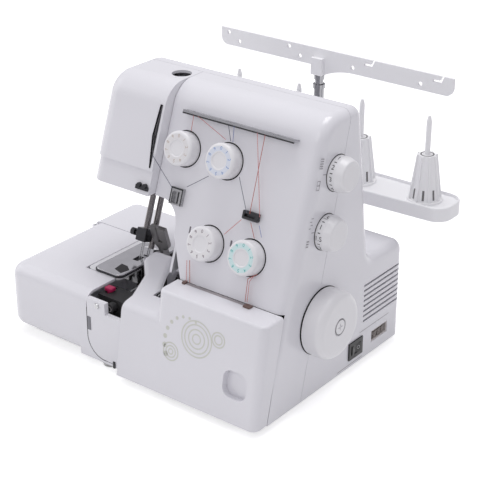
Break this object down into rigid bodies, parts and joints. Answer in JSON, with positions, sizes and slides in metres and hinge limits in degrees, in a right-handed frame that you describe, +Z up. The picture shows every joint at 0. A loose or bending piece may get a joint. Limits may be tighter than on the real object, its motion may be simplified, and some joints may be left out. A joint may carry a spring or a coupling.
{
  "type": "serger overlock sewing machine",
  "caption": "Overlock sewing machine with leaning dial panel, open stitch area with knives and loopers, folding front cover, swinging side cover and telescopic thread stand.",
  "frame": {"origin": "on the floor under the middle of the machine's box", "axes": "+X to the operator's right, +Y to the back, +Z up; the operator sits at -Y"},
  "size_m": [0.36, 0.27, 0.2755],
  "materials": {
    "shell_white": "semi-gloss moulded",
    "dial_white": "semi-gloss moulded",
    "foot_rubber": "matt",
    "belt_rubber": "matt",
    "steel": "brushed",
    "dark_steel": "blackened",
    "chrome": "polished",
    "cast_frame": "as cast",
    "bronze": "machined",
    "motor_paint": "satin",
    "grey_plastic": "matt moulded",
    "red_plastic": "gloss moulded",
    "black_plastic": "satin moulded",
    "inlet_plastic": "matt moulded"
  },
  "bodies": {
    "machine": {"base_pan": "shell_white", "rubber_feet": "foot_rubber", "front_housing": "shell_white", "face_cover": "shell_white", "rear_housing": "shell_white", "bed_rear": "shell_white", "side_cover_pin": "steel", "machine_frame": "cast_frame", "needle_plate": "chrome", "front_bracket": "steel", "shaft_bushes": "bronze", "motor": "motor_paint", "drive_belt": "belt_rubber", "lower_knife": "steel", "tension_spindles": "steel", "thread_guide_plate": "steel", "needle_thread_guide": "steel", "looper_thread_guide": "grey_plastic", "switch_bezel": "black_plastic", "power_inlet": "inlet_plastic", "stand_bracket": "shell_white", "spool_tray": "shell_white", "spool_pins": "dial_white", "cone_holders": "dial_white", "antenna_outer": "chrome"},
    "drive_shaft": {"main_shaft": "steel", "handwheel": "dial_white", "handwheel_screw": "dial_white", "shaft_pulley": "cast_frame"},
    "motor_drive": {"motor_pulley": "cast_frame"},
    "needle_unit": {"needle_bar": "steel", "needle_clamp": "dark_steel", "needles": "steel"},
    "take_up": {"take_up_lever": "steel"},
    "knife": {"upper_knife": "dark_steel"},
    "looper_low": {"lower_looper": "chrome"},
    "looper_high": {"upper_looper": "chrome"},
    "feed": {"feed_dogs": "steel"},
    "presser_unit": {"presser_bar": "steel", "presser_foot": "chrome"},
    "lifter": {"presser_lever": "grey_plastic"},
    "pressure_knob": {"pressure_dial": "grey_plastic"},
    "width_knob": {"cutting_width_dial": "grey_plastic"},
    "finger_slide": {"stitch_finger_slide": "red_plastic"},
    "dial_1": {"tension_dial_1": "dial_white"},
    "dial_2": {"tension_dial_2": "dial_white"},
    "dial_3": {"tension_dial_3": "dial_white"},
    "dial_4": {"tension_dial_4": "dial_white"},
    "length_dial": {"stitch_length_dial": "dial_white"},
    "feed_dial": {"differential_dial": "dial_white"},
    "cover_slide": {"front_cover_shaft": "steel"},
    "cover_flap": {"front_cover": "shell_white"},
    "side_door": {"side_cover": "shell_white"},
    "rocker": {"power_rocker": "black_plastic"},
    "pole_middle": {"antenna_middle": "chrome"},
    "pole_inner": {"antenna_inner": "chrome", "thread_bar": "dial_white"}
  },
  "joints": [
    {"name": "shaft_spin", "type": "hinge", "parent": "machine", "child": "drive_shaft", "pos_m": [0.135, -0.0375, 0.0785], "axis": [1, 0, 0], "continuous": true},
    {"name": "motor_spin", "type": "hinge", "parent": "machine", "child": "motor_drive", "pos_m": [0.115, 0.051, 0.048], "axis": [1, 0, 0], "continuous": true},
    {"name": "needle_stroke", "type": "slide", "parent": "machine", "child": "needle_unit", "axis": [0, 0.342, 0.9397], "range_m": [-0.009, 0.013]},
    {"name": "take_up_swing", "type": "hinge", "parent": "machine", "child": "take_up", "pos_m": [-0.0365, -0.04354, 0.21286], "axis": [1, 0, 0], "range_deg": [-14.19, 9.83]},
    {"name": "knife_swing", "type": "hinge", "parent": "machine", "child": "knife", "pos_m": [-0.0645, -0.009, 0.04], "axis": [1, 0, 0], "range_deg": [-3.55, 2.46]},
    {"name": "looper_low_swing", "type": "hinge", "parent": "machine", "child": "looper_low", "pos_m": [-0.051, -0.057, 0.026], "axis": [0, 1, 0], "range_deg": [-5.73, 8.28]},
    {"name": "looper_high_swing", "type": "hinge", "parent": "machine", "child": "looper_high", "pos_m": [-0.025, -0.048, 0.03], "axis": [0, 1, 0], "range_deg": [-7.1, 4.92]},
    {"name": "feed_stroke", "type": "slide", "parent": "machine", "child": "feed", "axis": [0, 1, 0], "range_m": [-0.00068, 0.00098]},
    {"name": "presser_lift", "type": "slide", "parent": "machine", "child": "presser_unit", "axis": [0, 0.342, 0.9397], "range_m": [0, 0.005]},
    {"name": "lifter_swing", "type": "hinge", "parent": "machine", "child": "lifter", "pos_m": [-0.076, 0.039, 0.188], "axis": [1, 0, 0], "range_deg": [0, 42]},
    {"name": "pressure_turn", "type": "hinge", "parent": "machine", "child": "pressure_knob", "pos_m": [-0.044, -0.014, 0.26], "axis": [0, 0, 1], "range_deg": [-150, 150]},
    {"name": "width_turn", "type": "hinge", "parent": "machine", "child": "width_knob", "pos_m": [-0.051, -0.11, 0.062], "axis": [0, 1, 0], "range_deg": [-90, 90]},
    {"name": "finger_set", "type": "slide", "parent": "machine", "child": "finger_slide", "axis": [0, 1, 0], "range_m": [-0.0025, 0.0055]},
    {"name": "tension_1_turn", "type": "hinge", "parent": "machine", "child": "dial_1", "pos_m": [-0.007, -0.05362, 0.21437], "axis": [0, -0.9409, 0.3387], "range_deg": [-150, 150]},
    {"name": "tension_2_turn", "type": "hinge", "parent": "machine", "child": "dial_2", "pos_m": [0.0415, -0.05362, 0.21437], "axis": [0, -0.9409, 0.3387], "range_deg": [-150, 150]},
    {"name": "tension_3_turn", "type": "hinge", "parent": "machine", "child": "dial_3", "pos_m": [0.04, -0.07945, 0.14264], "axis": [0, -0.9409, 0.3387], "range_deg": [-150, 150]},
    {"name": "tension_4_turn", "type": "hinge", "parent": "machine", "child": "dial_4", "pos_m": [0.0865, -0.07945, 0.14264], "axis": [0, -0.9409, 0.3387], "range_deg": [-150, 150]},
    {"name": "length_turn", "type": "hinge", "parent": "machine", "child": "length_dial", "pos_m": [0.135, -0.019, 0.216], "axis": [1, 0, 0], "range_deg": [-110, 110]},
    {"name": "feed_turn", "type": "hinge", "parent": "machine", "child": "feed_dial", "pos_m": [0.135, -0.035, 0.1655], "axis": [1, 0, 0], "range_deg": [-110, 110]},
    {"name": "cover_unlatch", "type": "slide", "parent": "machine", "child": "cover_slide", "axis": [1, 0, 0], "range_m": [0, 0.007]},
    {"name": "cover_fold", "type": "hinge", "parent": "cover_slide", "child": "cover_flap", "pos_m": [0.075, -0.126, 0.0105], "axis": [1, 0, 0], "range_deg": [0, 80]},
    {"name": "side_door_swing", "type": "hinge", "parent": "machine", "child": "side_door", "pos_m": [-0.1764, -0.00205, 0.04], "axis": [0, 0, 1], "range_deg": [-75, 0]},
    {"name": "rocker_tilt", "type": "hinge", "parent": "machine", "child": "rocker", "pos_m": [0.1338, 0.021, 0.023], "axis": [0, 0, 1], "range_deg": [-8, 8]},
    {"name": "pole_lift", "type": "slide", "parent": "machine", "child": "pole_middle", "axis": [0, 0, 1], "range_m": [0, 0.1]},
    {"name": "pole_top_lift", "type": "slide", "parent": "pole_middle", "child": "pole_inner", "axis": [0, 0, 1], "range_m": [0, 0.095]}
  ],
  "couplings": [
    {"joint": "motor_spin", "follows": "shaft_spin", "ratio": 3.7143},
    {"joint": "take_up_swing", "follows": "needle_stroke", "rad_per_m": -19.04},
    {"joint": "knife_swing", "follows": "needle_stroke", "rad_per_m": -4.7595},
    {"joint": "looper_low_swing", "follows": "needle_stroke", "rad_per_m": 11.106},
    {"joint": "looper_high_swing", "follows": "needle_stroke", "rad_per_m": -9.519},
    {"joint": "feed_stroke", "follows": "needle_stroke", "ratio": 0.075},
    {"joint": "lifter_swing", "follows": "presser_lift", "rad_per_m": 146.59}
  ]
}
